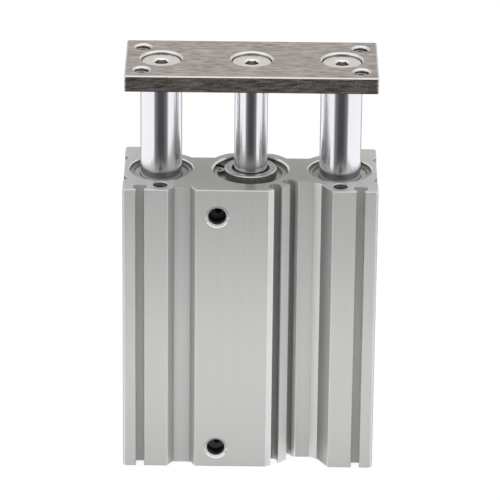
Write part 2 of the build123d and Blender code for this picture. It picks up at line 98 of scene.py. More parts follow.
class Graph:
    """A node tree with short calls for making and joining its nodes."""

    def __init__(self, tree: bpy.types.NodeTree) -> None:
        """Takes the tree that the nodes go into."""
        self.tree = tree

    def give(self, node: bpy.types.Node, inputs: Dict) -> None:
        """Fills a node's inputs.

        Args:
            node: The node.
            inputs: Values or sockets for its inputs, by name or number.
        """
        for key, value in inputs.items():
            if isinstance(value, Socket):
                self.tree.links.new(value, node.inputs[key])
            else:
                node.inputs[key].default_value = value

    def add(self, kind: str, inputs: Optional[Dict] = None, **settings: object) -> bpy.types.Node:
        """Adds a node.

        Args:
            kind: The node's type name, without its "ShaderNode" prefix.
            inputs: Values or sockets for the node's inputs, by name or number.
            **settings: The node's own properties.

        Returns:
            The new node.
        """
        node = self.tree.nodes.new("ShaderNode" + kind)
        for key, value in settings.items():
            setattr(node, key, value)
        self.give(node, inputs or {})
        return node

    def math(self, operation: str, *values: Value) -> Socket:
        """Adds a math node and returns its result."""
        return self.add("Math", dict(enumerate(values)), operation=operation).outputs[0]

    def size(self, value: Value) -> Socket:
        """Returns a value without its sign."""
        return self.math("ABSOLUTE", value)

    def plus(self, *values: Value) -> Socket:
        """Returns the sum of its values."""
        return reduce(partial(self.math, "ADD"), values)

    def minus(self, first: Value, second: Value) -> Socket:
        """Returns the difference of two values."""
        return self.math("SUBTRACT", first, second)

    def times(self, *values: Value) -> Socket:
        """Returns the product of its values."""
        return reduce(partial(self.math, "MULTIPLY"), values)

    def most(self, *values: Value) -> Socket:
        """Returns the largest of its values."""
        return reduce(partial(self.math, "MAXIMUM"), values)

    def toward(self, value: Value, target: Value, share: Value) -> Socket:
        """Moves a value towards another by a share and returns it."""
        return self.plus(value, self.times(share, self.minus(target, value)))

    def ramp(self, value: Value, low: Value, high: Value, to_low: float = 0.0, to_high: float = 1.0,
             kind: str = "SMOOTHSTEP") -> Socket:
        """Maps a value from one range to another, held at both ends, and returns it."""
        inputs = {"Value": value, "From Min": low, "From Max": high, "To Min": to_low, "To Max": to_high}
        return self.add("MapRange", inputs, interpolation_type=kind).outputs["Result"]

    def between(self, value: Value, low: float, full_from: float, full_to: float, high: float) -> Socket:
        """Returns 1 from full_from to full_to, falling to 0 at low and high."""
        return self.times(self.ramp(value, low, full_from), self.ramp(value, high, full_to))

    def mix(self, factor: Value, first: Shade, second: Shade) -> Socket:
        """Mixes two colours and returns the result."""
        ends = [value if isinstance(value, Socket) else (*value, 1.0) for value in (first, second)]
        return self.add("Mix", {"Factor": factor, 6: ends[0], 7: ends[1]}, data_type="RGBA").outputs[2]

    def over(self, under: Shade, colour: Shade, *shares: Value) -> Socket:
        """Lays a colour over another by the product of the shares and returns the result."""
        return self.mix(self.times(*shares), under, colour)

    def parts(self, vector: Socket) -> Tuple[Socket, Socket, Socket]:
        """Returns the three parts of a vector."""
        return tuple(self.add("SeparateXYZ", {0: vector}).outputs)

    def vector(self, x: Value, y: Value, z: Value = 0.0) -> Socket:
        """Returns the vector with these three parts."""
        return self.add("CombineXYZ", {0: x, 1: y, 2: z}).outputs[0]

    def from_axis(self, place: Socket, axis_x: Value) -> Socket:
        """Returns the distance from an upright axis."""
        x, y, _ = self.parts(place)
        return self.math("SQRT", self.plus(*(self.times(part, part) for part in (self.minus(x, axis_x), y))))


class Group(Graph):
    """A node group, with its inputs and its output node."""

    def __init__(self, name: str, inputs: Dict, *outputs: str) -> None:
        """Makes an empty group.

        Args:
            name: The group's name.
            inputs: The first value of each input, by name. A tuple makes a vector.
            *outputs: The names of the outputs, all of them values.
        """
        super().__init__(bpy.data.node_groups.new(name, "ShaderNodeTree"))
        sides = self.tree.interface
        for label, value in inputs.items():
            kind = "NodeSocketVector" if isinstance(value, tuple) else "NodeSocketFloat"
            sides.new_socket(label, in_out="INPUT", socket_type=kind).default_value = value
        for label in outputs:
            sides.new_socket(label, in_out="OUTPUT", socket_type="NodeSocketFloat")
        self.given = self.tree.nodes.new("NodeGroupInput").outputs
        self.made = self.tree.nodes.new("NodeGroupOutput")

    def finish(self, *results: Socket) -> bpy.types.NodeTree:
        """Joins the results to the outputs in order and returns the tree."""
        self.give(self.made, dict(enumerate(results)))
        return self.tree


class Effects:
    """The surface effects that several finishes share, each a node group."""

    def __init__(self) -> None:
        """Builds every group once."""
        self.streaks = self._streaks()
        self.grain = self._grain()
        self.turning = self._turning()
        self.edges = self._edges()
        self.depths = self._depths()
        self.bores = self._bores()

    @staticmethod
    def _streaks() -> bpy.types.NodeTree:
        """Makes long marks: noise on coordinates that are scaled by different amounts along each axis.

        Returns:
            The group's tree.
        """
        group = Group("drawn_streaks", {"Vector": (0.0, 0.0, 0.0), "Per Metre": (1.0, 1.0, 1.0), "Detail": 4.0,
                                        "Low": 0.3, "High": 0.7}, "Mask")
        given = group.given
        scaled = group.add("VectorMath", {0: given["Vector"], 1: given["Per Metre"]}, operation="MULTIPLY")
        noise = group.add("TexNoise", {"Vector": scaled.outputs[0], "Scale": 1.0, "Detail": given["Detail"],
                                       "Roughness": 0.6})
        return group.finish(group.ramp(noise.outputs["Fac"], given["Low"], given["High"], kind="LINEAR"))

    @staticmethod
    def _grain() -> bpy.types.NodeTree:
        """Makes fine even grain, with a slow cloud of handling marks under it.

        Returns:
            The group's tree.
        """
        group = Group("fine_grain", {"Vector": (0.0, 0.0, 0.0), "Grains Per Metre": 4000.0,
                                     "Clouds Per Metre": 25.0}, "Grain", "Cloud")
        place = group.given["Vector"]
        fine = group.add("TexNoise", {"Vector": place, "Scale": group.given["Grains Per Metre"], "Detail": 2.0,
                                      "Roughness": 0.55})
        slow = group.add("TexNoise", {"Vector": place, "Scale": group.given["Clouds Per Metre"], "Detail": 5.0,
                                      "Roughness": 0.6, "Distortion": 0.4})
        return group.finish(fine.outputs["Fac"], group.ramp(slow.outputs["Fac"], 0.35, 0.7))

    @staticmethod
    def _turning() -> bpy.types.NodeTree:
        """Makes lathe marks: a wave on the distance from an upright axis plus the height, unevenly pitched.

        Returns:
            The group's tree.
        """
        group = Group("turning_marks", {"Vector": (0.0, 0.0, 0.0), "Axis X": 0.0, "Pitch": 0.3 * MM}, "Mask")
        given = group.given
        height = group.parts(given["Vector"])[2]
        path = group.plus(group.from_axis(given["Vector"], given["Axis X"]), height)
        turns = group.math("DIVIDE", path, given["Pitch"])
        noise = group.add("TexNoise", {"W": turns, "Scale": 0.37, "Detail": 3.0}, noise_dimensions="1D")
        wave = group.math("SINE", group.times(turns, 2 * math.pi))
        uneven = group.times(group.ramp(noise.outputs["Fac"], 0.3, 0.7), 0.75)
        return group.finish(group.plus(group.times(group.plus(wave, 1.0), 0.125), uneven))

    @staticmethod
    def _edges() -> bpy.types.NodeTree:
        """Finds broken edges: how far the surface's normal turns within a small radius.

        Returns:
            The group's tree.
        """
        group = Group("broken_edges", {"Radius": 0.3 * MM}, "Mask")
        rounded_off = group.add("Bevel", {"Radius": group.given["Radius"]}, samples=4)
        turn = group.add("VectorMath", {0: rounded_off.outputs["Normal"],
                                        1: group.add("NewGeometry").outputs["Normal"]}, operation="DOT_PRODUCT")
        return group.finish(group.ramp(turn.outputs["Value"], 0.999, 0.93))

    @staticmethod
    def _depths() -> bpy.types.NodeTree:
        """Finds deep places for painted shade: how much of the piece stands round a point.

        Returns:
            The group's tree.
        """
        group = Group("hollow_shade", {"Reach": 12.0 * MM, "Open": 0.28, "Closed": 0.06}, "Mask")
        given = group.given
        around = group.add("AmbientOcclusion", {"Distance": given["Reach"]}, samples=6, only_local=True)
        return group.finish(group.ramp(around.outputs["AO"], given["Open"], given["Closed"]))

    @staticmethod
    def _bores() -> bpy.types.NodeTree:
        """Finds the inside of a round upright bore: 1 nearer to its axis than the radius, else 0.

        Returns:
            The group's tree.
        """
        group = Group("inside_bore", {"Vector": (0.0, 0.0, 0.0), "Axis X": 0.0, "Radius": 10.0 * MM}, "Mask")
        distance = group.from_axis(group.given["Vector"], group.given["Axis X"])
        return group.finish(group.math("LESS_THAN", distance, group.given["Radius"]))


class Marks(Enum):
    """Kinds of long marks: marks per metre along X, Y and Z, detail, and the noise's lowest and highest."""

    DIE_LINES = ((3400.0, 3400.0, 9.0), 4.0, 0.3, 0.7)
    DIE_BANDS = ((260.0, 260.0, 3.0), 2.0, 0.25, 0.75)
    MILLED = ((90.0, 2600.0, 40.0), 4.0, 0.3, 0.7)
    BRUSHED = ((170.0, 1700.0, 1900.0), 2.0, 0.36, 0.64)
    BRUSHED_BROAD = ((130.0, 620.0, 900.0), 3.0, 0.42, 0.66)
    GROUND = ((60.0, 60.0, 9000.0), 2.0, 0.3, 0.7)


class ShadeDepth(Enum):
    """Kinds of deep places that get painted shade: the reach in metres, and the openness that counts as open and as
    closed.
    """

    CORNER = (9.0 * MM, 0.95, 0.35)
    SLOT = (12.0 * MM, 0.21, 0.05)
    SOCKET = (7.0 * MM, 0.75, 0.4)


class Surface(Graph):
    """A material's graph, with its shader, its coordinates and the shared effects."""

    def __init__(self, material: bpy.types.Material, effects: Effects) -> None:
        """Adds the coordinates to a material's graph.

        Args:
            material: The material.
            effects: The shared surface effects.
        """
        super().__init__(material.node_tree)
        self.effects = effects
        self.shader = material.node_tree.nodes["Principled BSDF"]
        self.coordinates = self.add("TexCoord").outputs
        self.place = self.coordinates["Object"]

    @cached_property
    def here(self) -> Tuple[Socket, Socket, Socket]:
        """The three object coordinates."""
        return self.parts(self.place)

    @cached_property
    def facing(self) -> Tuple[Socket, Socket, Socket]:
        """The three parts of the object normal."""
        return self.parts(self.coordinates["Normal"])

    def shade(self, inputs: Dict) -> None:
        """Fills the shader's inputs with values or sockets, by name."""
        self.give(self.shader, inputs)

    def effect(self, tree: bpy.types.NodeTree, inputs: Dict) -> bpy.types.NodeOutputs:
        """Places one of the shared effects and returns its outputs."""
        return self.add("Group", inputs, node_tree=tree).outputs

    def marks(self, kind: Marks, place: Optional[Socket] = None) -> Socket:
        """Returns long marks, on the object's coordinates or on others."""
        inputs = dict(zip(("Per Metre", "Detail", "Low", "High"), kind.value), Vector=place or self.place)
        return self.effect(self.effects.streaks, inputs)["Mask"]

    def grain(self, grains: float, clouds: float) -> Tuple[Socket, Socket]:
        """Returns fine grain and slow clouds, each with so many per metre."""
        inputs = {"Vector": self.place, "Grains Per Metre": grains, "Clouds Per Metre": clouds}
        return tuple(self.effect(self.effects.grain, inputs))

    def edges(self, radius: float) -> Socket:
        """Returns the edges that turn within a radius."""
        return self.effect(self.effects.edges, {"Radius": radius})["Mask"]

    def depth(self, kind: ShadeDepth) -> Socket:
        """Returns the deep places of one kind, where shade is painted."""
        return self.effect(self.effects.depths, dict(zip(("Reach", "Open", "Closed"), kind.value)))["Mask"]

    def bore(self, place: Socket, axis_x: float, radius: float) -> Socket:
        """Returns 1 nearer to an upright axis than the radius, and 0 elsewhere."""
        return self.effect(self.effects.bores, {"Vector": place, "Axis X": axis_x, "Radius": radius})["Mask"]

    def relief(self, *layers: Tuple[Socket, float]) -> None:
        """Adds relief to the shader.

        Args:
            *layers: Each layer's height, from 0 to 1, and its depth in metres. Coarse layers come first.
        """
        under = {}
        for height, depth in layers:
            node = self.add("Bump", {"Height": height, "Distance": depth, "Strength": 1.0, **under})
            under = {"Normal": node.outputs["Normal"]}
        self.shade(under)


# Finishes


@dataclass(frozen=True)
class Finish:
    """A surface finish, with the values that every finish has."""

    name: str
    colour: Colour
    roughness: float
    metallic: float = 1.0

    def material(self, effects: Effects) -> bpy.types.Material:
        """Makes the material.

        Args:
            effects: The shared surface effects.

        Returns:
            The finished material.
        """
        material = bpy.data.materials.new(self.name + "_finish")
        material.use_nodes = True
        surface = Surface(material, effects)
        surface.shade({"Base Color": (*self.colour, 1.0), "Roughness": self.roughness, "Metallic": self.metallic})
        self.paint(surface)
        return material

    def paint(self, surface: Surface) -> None:
        """Adds the finish's own detail to a surface."""

    def tone(self, share: float) -> Colour:
        """The base colour made lighter or darker."""
        return tuple(min(1.0, part * share) for part in self.colour)


@dataclass(frozen=True)
class AnodisedExtrusion(Finish):
    """Etched and anodised extrusion with faint die lines down its sides and milled ends."""

    end_colour: Colour = (0.57, 0.56, 0.545)
    end_roughness: float = 0.3
    end_metallic: float = 0.25
    # Painted shade on the ends under the plate: its colour, and the distances from the middle where it starts and
    # where it is full.
    plate_shade_colour: Colour = (0.465, 0.452, 0.43)
    plate_shade_width: Pair = (40.0 * MM, 27.0 * MM)
    # Painted shade on the slanted flanks of the outer recesses: its colour, the slopes it covers, the depths where
    # it is half and full, and where the flanks start.
    flank_shade_colour: Colour = (0.24, 0.24, 0.235)
    flank_slope: Tuple[float, ...] = (0.7, 0.84, 0.92, 0.98)
    flank_depth: Pair = (27.0 * MM, 19.0 * MM)
    flanks_from: float = 25.5 * MM
    slots_from: float = 47.5 * MM
    slot_share: float = 0.12
    port_places: Tuple[Pair, ...] = ((-15.7 * MM, 133.0 * MM), (-15.7 * MM, 10.0 * MM))
    port_ring: Pair = (5.15 * MM, 5.95 * MM)
    port_ring_depth: float = -25.8 * MM
    port_ring_slope: float = 0.93
    port_wall: float = 4.6 * MM
    port_reach: float = -10.0 * MM
    port_share: float = 0.1
    # Painted shade in the ports and deep places, and how strongly it is laid on.
    hollow_shade_colour: Colour = (0.02, 0.019, 0.017)
    hollow_shade_share: float = 0.9
    # Bare metal on the broken edges, port rings and bore mouths, laid on near white as a painted highlight.
    edge_highlight_colour: Colour = (0.99, 0.99, 0.985)
    edge_roughness: float = 0.2
    edge_radius: float = 0.5 * MM
    # Machined metal in the bores, its colour darkened as painted shade.
    bore_shade_colour: Colour = (0.20, 0.19, 0.175)
    bored_roughness: float = 0.22
    mouth_chamfer: float = 0.6 * MM
    mouth_slope: Tuple[float, ...] = (0.4, 0.5, 0.8, 0.9)
    bores: Tuple[Pair, ...] = ((-43.0 * MM, 15.4 * MM), (0.0, 18.2 * MM), (43.0 * MM, 15.4 * MM))
    line_relief: float = 0.0012 * MM
    grain_relief: float = 0.0022 * MM

    def paint(self, surface: Surface) -> None:
        """Paints the sides and ends, with painted shade on the flanks and under the plate, then what was cut into
        them, painted highlights on the edges and painted shade in the bores, ports and deep places.

        Args:
            surface: The material's surface.
        """
        lines, bands = surface.marks(Marks.DIE_LINES), surface.marks(Marks.DIE_BANDS)
        milled = surface.marks(Marks.MILLED)
        grain, cloud = surface.grain(6500.0, 22.0)
        x, y, _ = surface.here
        away, upright = surface.size(x), surface.size(surface.facing[2])
        end = surface.ramp(upright, 0.9, 0.97)

        side = surface.mix(surface.times(lines, 0.5), self.tone(0.965), self.tone(1.03))
        side = surface.over(side, self.tone(1.05), bands, 0.5)
        # Painted shade: the slanted flanks of the outer recesses, half at the front face and full deeper in.
        shaded_flank = surface.between(surface.size(surface.facing[0]), *self.flank_slope)
        shaded_flank = surface.times(shaded_flank, surface.math("GREATER_THAN", away, self.flanks_from))
        side = surface.over(side, self.flank_shade_colour, shaded_flank, surface.ramp(surface.size(y), *self.flank_depth, 0.5))
        face = surface.mix(milled, self.end_colour, tuple(1.02 * part for part in self.end_colour))
        colour = surface.over(surface.mix(end, side, face), self.tone(0.86), cloud, 0.1)
        # Painted shade: the middle of the ends, under the plate, is darkened.
        colour = surface.over(colour, self.plate_shade_colour, surface.ramp(away, *self.plate_shade_width), end, 0.9)

        # The bores are machined metal, their colour darkened as painted shade.
        bored = self.bored(surface)
        colour = surface.mix(bored, colour, self.bore_shade_colour)
        # Painted highlight: broken edges, port rings and bore mouths are bare metal laid on near white.
        mouth = surface.times(surface.between(upright, *self.mouth_slope), self.bored(surface, self.mouth_chamfer))
        bright = surface.most(surface.times(surface.edges(self.edge_radius), 0.95), self.port_rings(surface),
                              surface.times(mouth, 0.8))
        colour = surface.mix(bright, colour, self.edge_highlight_colour)

        # Painted shade: a port's wall darkens deeper in.
        in_port = self.port_masks(surface, 0.0, self.port_wall)
        in_port = surface.times(in_port, surface.math("LESS_THAN", y, self.port_reach))
        fade = surface.times(in_port, surface.ramp(y, *PORT_SHADE))
        colour = surface.over(colour, self.hollow_shade_colour, fade, self.hollow_shade_share)
        # Painted shade in corners and slots, weaker in the end slots and in the ports.
        seen = surface.times(surface.ramp(away, self.slots_from, self.slots_from + MM, 1.0, self.slot_share),
                             surface.ramp(in_port, 0.0, 1.0, 1.0, self.port_share))
        colour = surface.over(colour, self.tone(0.35), surface.depth(ShadeDepth.CORNER), seen, 0.6)
        colour = surface.over(colour, self.hollow_shade_colour, surface.depth(ShadeDepth.SLOT), seen, self.hollow_shade_share)

        metal = surface.ramp(end, 0.0, 1.0, self.metallic, self.end_metallic)
        rough = surface.plus(self.roughness, surface.times(cloud, 0.05), surface.times(bands, -0.03))
        rough = surface.toward(rough, surface.plus(self.end_roughness, surface.times(milled, 0.02)), end)
        rough = surface.toward(rough, self.bored_roughness, bored)
        rough = surface.toward(rough, self.edge_roughness, bright)
        surface.shade({"Base Color": colour, "Metallic": surface.most(metal, bored, bright), "Roughness": rough})
        surface.relief((lines, self.line_relief), (grain, self.grain_relief))

    def port_rings(self, surface: Surface) -> Socket:
        """Tells the freshly cut rings at the mouths of the ports, which get painted highlights.

        A point belongs to a ring where it lies near the port's axis, below the pad's face, and its surface
        slopes.

        Args:
            surface: The material's surface.

        Returns:
            1 on a ring and 0 elsewhere.
        """
        outer = surface.math("LESS_THAN", surface.here[1], self.port_ring_depth)
        sloping = surface.math("LESS_THAN", surface.size(surface.facing[1]), self.port_ring_slope)
        return surface.times(self.port_masks(surface, *self.port_ring), outer, sloping)

    def port_masks(self, surface: Surface, inner: float, outer: float) -> Socket:
        """Tells what lies between two radii round a port's axis.

        Args:
            surface: The material's surface.
            inner: The smaller radius.
            outer: The larger radius.

        Returns:
            1 between the radii and 0 elsewhere.
        """
        x, _, z = surface.here
        found = []
        for port_x, port_z in self.port_places:
            turned = surface.vector(x, surface.minus(z, port_z))
            near, wide = (surface.bore(turned, port_x, radius) for radius in (inner, outer))
            found.append(surface.minus(wide, near))
        return surface.most(*found)

    def bored(self, surface: Surface, wider: float = 0.0) -> Socket:
        """Returns 1 in the machined bores, each that much wider, and 0 elsewhere."""
        return surface.most(*(surface.bore(surface.place, x, radius + wider) for x, radius in self.bores))


@dataclass(frozen=True)
class BrushedSteel(Finish):
    """Steel brushed along its length, with painted light on its upright sides, painted shade low in its holes and
    sinks, and bright broken edges.
    """

    # Bare steel of the cuts, also laid on the upright sides as painted light.
    bare_and_lit_colour: Colour = (0.86, 0.85, 0.84)
    side_light_share: Pair = (0.02, 0.5)
    rim_metallic: float = 0.91
    # Painted shade low in the holes and sinks, darker and then near black.
    sink_shade_colour: Colour = (0.42, 0.40, 0.38)
    gap_shade_colour: Colour = (0.03, 0.028, 0.026)
    half_length: float = 59.7 * MM
    half_width: float = 23.7 * MM
    # The heights where each painted shade starts and where it is full.
    sink_shade_depth: Pair = (202.85 * MM, 202.8 * MM)
    gap_shade_depth: Pair = (202.1 * MM, 201.8 * MM)
    broad_relief: float = 0.004 * MM
    fine_relief: float = 0.003 * MM

    def paint(self, surface: Surface) -> None:
        """Paints the brushed skin with painted light on its upright sides, then the bare cuts through it with
        painted shade low down.

        Args:
            surface: The material's surface.
        """
        brushed = self.brushed_way(surface)
        fine, broad = surface.marks(Marks.BRUSHED, brushed), surface.marks(Marks.BRUSHED_BROAD, brushed)
        cloud = surface.grain(3000.0, 40.0)[1]
        colour = surface.mix(fine, self.tone(0.5), self.tone(1.35))
        colour = surface.over(colour, self.tone(1.85), broad, 0.6)
        colour = surface.over(colour, self.tone(0.75), cloud, 0.25)
        # Painted light: the upright sides are lightened toward the bare colour along the broad marks.
        rim = surface.ramp(surface.size(surface.facing[2]), 0.5, 0.3)
        colour = surface.over(colour, self.bare_and_lit_colour, rim, surface.ramp(broad, 0.0, 1.0, *self.side_light_share))
        # Painted shade: the bare walls darken low in the holes and sinks, near black round the screw heads.
        height = surface.here[2]
        bare = surface.mix(surface.ramp(height, *self.sink_shade_depth), self.bare_and_lit_colour, self.sink_shade_colour)
        bare = surface.over(bare, self.gap_shade_colour, surface.ramp(height, *self.gap_shade_depth))
        surface.shade({"Base Color": surface.mix(self.skin(surface), bare, colour),
                       "Metallic": surface.ramp(rim, 0.0, 1.0, self.metallic, self.rim_metallic),
                       "Roughness": surface.plus(self.roughness, surface.times(fine, 0.12))})
        surface.relief((broad, self.broad_relief), (fine, self.fine_relief))

    def brushed_way(self, surface: Surface) -> Socket:
        """Turns the coordinates on the plate's short ends, so that their marks run across the plate.

        Args:
            surface: The material's surface.

        Returns:
            The coordinates, with X and Y changed over where the surface faces along X.
        """
        x, y, z = surface.here
        short_end = surface.math("GREATER_THAN", surface.size(surface.facing[0]), 0.8)
        inputs = {"Factor": short_end, 4: surface.place, 5: surface.vector(y, x, z)}
        return surface.add("Mix", inputs, data_type="VECTOR").outputs[1]

    def skin(self, surface: Surface) -> Socket:
        """Tells the brushed skin from the bare cuts.

        The skin is what faces straight up or down, and the four upright sides. Chamfers, hole walls and
        sinks were cut through it later and are bare.

        Args:
            surface: The material's surface.

        Returns:
            1 on the skin and 0 on a cut.
        """
        upright = surface.size(surface.facing[2])
        past = [surface.math("GREATER_THAN", surface.size(part), half)
                for part, half in zip(surface.here, (self.half_length, self.half_width))]
        outside = surface.times(surface.ramp(upright, 0.45, 0.3), surface.most(*past))
        return surface.most(surface.ramp(upright, 0.9, 0.98), outside)


@dataclass(frozen=True)
class HardChrome(Finish):
    """Ground and polished chrome. The fine marks round it draw reflections out along the rod."""

    drawn_out: float = 0.95
    quarter_turn: float = 0.25
    lean: float = 0.001
    mark_relief: float = 0.00012 * MM

    def paint(self, surface: Surface) -> None:
        """Paints the chrome and lays its marks round the rod.

        The direction round the rod is the object normal turned by a right angle, (-y, x). A little height
        keeps it from vanishing on the rod's flat ends.

        Args:
            surface: The material's surface.
        """
        ground, cloud = surface.marks(Marks.GROUND), surface.grain(2000.0, 30.0)[1]
        colour = surface.mix(surface.times(ground, 0.5), self.tone(0.985), self.tone(1.0))
        facing_x, facing_y, _ = surface.facing
        around = surface.vector(surface.times(facing_y, -1.0), facing_x, self.lean)
        around = surface.add("VectorTransform", {0: around}, vector_type="VECTOR", convert_from="OBJECT",
                             convert_to="WORLD")
        surface.shade({"Base Color": surface.over(colour, self.tone(0.95), cloud, 0.25),
                       "Roughness": surface.plus(self.roughness, surface.times(cloud, 0.02)),
                       "Tangent": around.outputs[0], "Anisotropic": self.drawn_out,
                       "Anisotropic Rotation": self.quarter_turn})
        surface.relief((ground, self.mark_relief))


@dataclass(frozen=True)
class TurnedMetal(Finish):
    """Metal turned on a lathe about an upright axis, with its rings left in."""

    pitch: float = 0.22 * MM
    depth: float = 0.0015 * MM
    contrast: float = 0.14
    # Painted highlight on broken edges and chamfers, and the slopes that count as a chamfer.
    edge_highlight_tone: float = 1.25
    edge_radius: float = 0.2 * MM
    chamfer_slope: Tuple[float, ...] = (0.35, 0.5, 0.85, 0.95)
    # Painted shade in deep places such as sockets, and along Y inside a port.
    hollow_shade_share: float = 0.0
    fade: Optional[Pair] = None

    def paint(self, surface: Surface) -> None:
        """Paints the rings, with edges and chamfers lightened as painted highlights, then painted shade in sockets
        and ports.

        Args:
            surface: The material's surface.
        """
        rings = surface.effect(surface.effects.turning, {"Vector": surface.place, "Pitch": self.pitch})["Mask"]
        grain, cloud = surface.grain(5000.0, 70.0)
        # Painted highlight: chamfers and broken edges are lightened.
        chamfer = surface.between(surface.size(surface.facing[2]), *self.chamfer_slope)
        bright = self.tone(self.edge_highlight_tone)
        colour = surface.mix(rings, self.tone(1 - self.contrast), self.tone(1 + self.contrast / 2))
        colour = surface.over(colour, self.tone(0.8), cloud, 0.2)
        colour = surface.over(colour, bright, surface.edges(self.edge_radius), 0.7)
        colour = surface.over(colour, bright, chamfer, 0.8)
        # Painted shade: deep places such as hex sockets, and the deeper part of a port's thread.
        if self.hollow_shade_share:
            colour = surface.over(colour, self.tone(0.08), surface.depth(ShadeDepth.SOCKET), self.hollow_shade_share)
        if self.fade:
            colour = surface.over(colour, self.tone(0.1), surface.ramp(surface.here[1], *self.fade))
        surface.shade({"Base Color": colour,
                       "Roughness": surface.plus(self.roughness, surface.times(cloud, 0.08))})
        surface.relief((rings, self.depth), (grain, self.depth))


@dataclass(frozen=True)
class Moulded(Finish):
    """Moulded rubber, plastic or pressed felt: a dull surface with an even grain."""

    metallic: float = 0.0
    grains: float = 2500.0
    depth: float = 0.01 * MM
    sheen: float = 0.0

    def paint(self, surface: Surface) -> None:
        """Paints the grain and the clouds.

        Args:
            surface: The material's surface.
        """
        grain, cloud = surface.grain(self.grains, 90.0)
        colour = surface.over(surface.mix(grain, self.tone(0.8), self.tone(1.2)), self.tone(0.7), cloud, 0.3)
        surface.shade({"Base Color": colour, "Sheen Weight": self.sheen,
                       "Roughness": surface.plus(self.roughness, surface.times(cloud, 0.1))})
        surface.relief((grain, self.depth))


class Paints:
    """Every material of the object, by the record's slot."""

    def __init__(self) -> None:
        """Builds the shared effects and the materials."""
        effects = Effects()
        finishes = [
            AnodisedExtrusion("anodised_aluminium", (0.69, 0.69, 0.675), 0.42, 0.6),
            # The turned aluminium's edges are lightened nearly to white as painted highlights.
            TurnedMetal("turned_aluminium", (0.42, 0.415, 0.40), 0.24, 0.6, edge_highlight_tone=2.3),
            BrushedSteel("plate_steel", (0.42, 0.372, 0.34), 0.2),
            HardChrome("chrome", (0.92, 0.925, 0.965), 0.15),
            # The screws get painted shade in their hex sockets.
            TurnedMetal("screw_steel", (0.90, 0.845, 0.79), 0.28, pitch=0.5 * MM, contrast=0.05, hollow_shade_share=0.5),
            # The tapped threads are coloured dark as painted shade inside their holes; the port's thread darkens
            # deeper in.
            TurnedMetal("shaded_tapped_aluminium", (0.10, 0.095, 0.09), 0.32, contrast=0.1),
            TurnedMetal("shaded_tapped_port", (0.70, 0.69, 0.67), 0.32, contrast=0.1, fade=PORT_SHADE),
            TurnedMetal("shaded_tapped_steel", (0.33, 0.31, 0.29), 0.32, contrast=0.1),
            TurnedMetal("spring_steel", (0.40, 0.385, 0.365), 0.34, pitch=0.4 * MM, contrast=0.10),
            TurnedMetal("bearing_bronze", (0.55, 0.42, 0.27), 0.35),
            Moulded("holder_plastic", (0.46, 0.455, 0.44), 0.42, depth=0.006 * MM),
            Moulded("felt", (0.20, 0.19, 0.165), 0.95, grains=1400.0, depth=0.08 * MM, sheen=0.3),
            Moulded("seal_rubber", (0.022, 0.022, 0.023), 0.42),
            Moulded("bumper_rubber", (0.16, 0.11, 0.07), 0.5),
            Moulded("magnet_rubber", (0.05, 0.05, 0.055), 0.6),
            Moulded("guide_plastic", (0.70, 0.67, 0.58), 0.5),
        ]
        self.by_slot = {finish.name: finish.material(effects) for finish in finishes}

    def dress(self, piece: bpy.types.Object, slot: str) -> None:
        """Gives a piece the one material of a slot."""
        piece.data.materials.clear()
        piece.data.materials.append(self.by_slot[slot])


# Shapes


@dataclass(frozen=True)
class Extent:
    """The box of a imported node, with the measures that turned pieces need."""

    low: Vector
    high: Vector

    @staticmethod
    def of(node: str) -> "Extent":
        """Reads a node's box."""
        return Extent(*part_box(node))

    @property
    def x(self) -> float:
        """The middle across the width."""
        return (self.low.x + self.high.x) / 2

    @property
    def radius(self) -> float:
        """Half of the width."""
        return (self.high.x - self.low.x) / 2


def hole_corners(mount: str) -> List[Tuple[str, float, float]]:
    """Reads the places of four holes from the record.

    Args:
        mount: The name of the mount that they make.

    Returns:
        Each hole's name, such as front_left, and its place along X and Y.
    """
    dims = MOUNTS[mount]["dims"]
    half_x, half_y = dims["spacing_x_mm"] * MM / 2, dims["spacing_y_mm"] * MM / 2
    return [(f"{face}_{side}", x, y) for side, x in zip(SIDES, (-half_x, half_x))
            for face, y in (("front", -half_y), ("back", half_y))]


def rounded(corners: Sequence[Pair], radius: float, steps: int = 4, closed: bool = False) -> Points:
    """Rounds the corners of an outline.

    Each corner gives way to a quadratic curve that starts and ends the radius away from it, or 0.45 of
    the shorter edge where that is less. Its points are (1-t)^2 A + 2t(1-t) C + t^2 B for the corner C.

    Args:
        corners: Radius and height of each corner, in order.
        radius: How far from the corner the curve starts.
        steps: The number of spans in each curve.
        closed: Whether the last corner joins the first.

    Returns:
        The outline's points, one row each.
    """
    middle = np.array(corners, float)
    before = np.roll(middle, 1, axis=0) - middle
    after = np.roll(middle, -1, axis=0) - middle
    to_before = np.linalg.norm(before, axis=1, keepdims=True)
    to_after = np.linalg.norm(after, axis=1, keepdims=True)
    reach = np.minimum(radius, 0.45 * np.minimum(to_before, to_after))
    start = (middle + before / to_before * reach)[:, None]
    end = (middle + after / to_after * reach)[:, None]
    t = np.linspace(0, 1, steps + 1)[None, :, None]
    curves = (1 - t) ** 2 * start + 2 * t * (1 - t) * middle[:, None] + t**2 * end
    if closed:
        return curves.reshape(-1, 2)
    return np.vstack([middle[:1], curves[1:-1].reshape(-1, 2), middle[-1:]])


def stand(name: str, data: bpy.types.ID) -> bpy.types.Object:
    """Makes an object of a mesh, a lamp or a camera and puts it in the scene.

    Args:
        name: The object's name.
        data: What it is made of.

    Returns:
        The new object.
    """
    thing = bpy.data.objects.new(name, data)
    bpy.context.scene.collection.objects.link(thing)
    return thing


